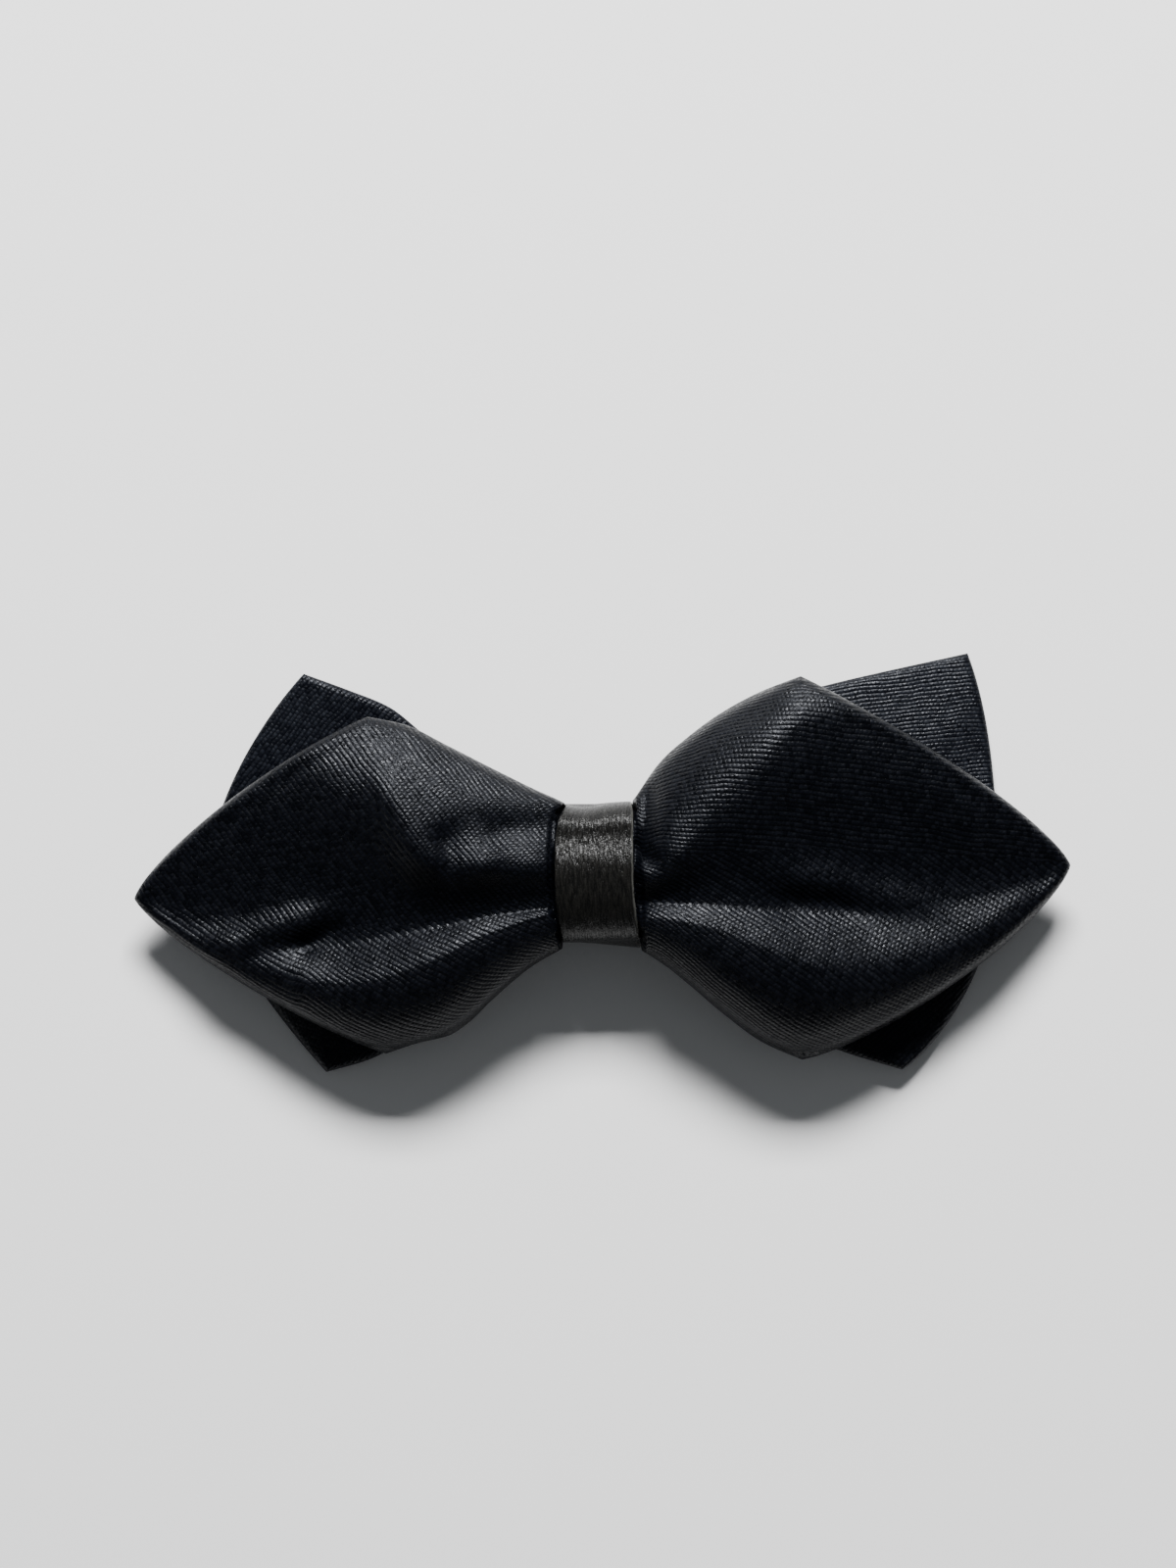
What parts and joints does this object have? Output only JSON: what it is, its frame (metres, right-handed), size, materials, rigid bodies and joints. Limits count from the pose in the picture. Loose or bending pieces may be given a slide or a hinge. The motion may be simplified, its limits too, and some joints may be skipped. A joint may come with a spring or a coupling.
{
  "type": "diamond point bow tie",
  "caption": "Ready-tied black satin bow tie with pointed diamond wings over a flatter pointed back bow, pinched by a leather band, with a flat collar clip on its back.",
  "frame": {"origin": "middle of the clip's flat back, on the surface that the bow lies on, behind the middle of the knot", "axes": "+X along the bow to the viewer's right, +Y to the bow's upper edge, +Z out of its face"},
  "size_m": [0.1206, 0.0539, 0.017],
  "materials": {
    "front_cloth": "black twill satin with a soft sheen",
    "back_cloth": "the same black twill satin, lying flatter",
    "band_leather": "black smooth leather with fine wrinkles",
    "clip_steel": "plain bright spring steel"
  },
  "bodies": {
    "root": {"front_bow": "front_cloth", "back_bow": "back_cloth", "centre_band": "band_leather", "collar_clip": "clip_steel"}
  },
  "joints": []
}
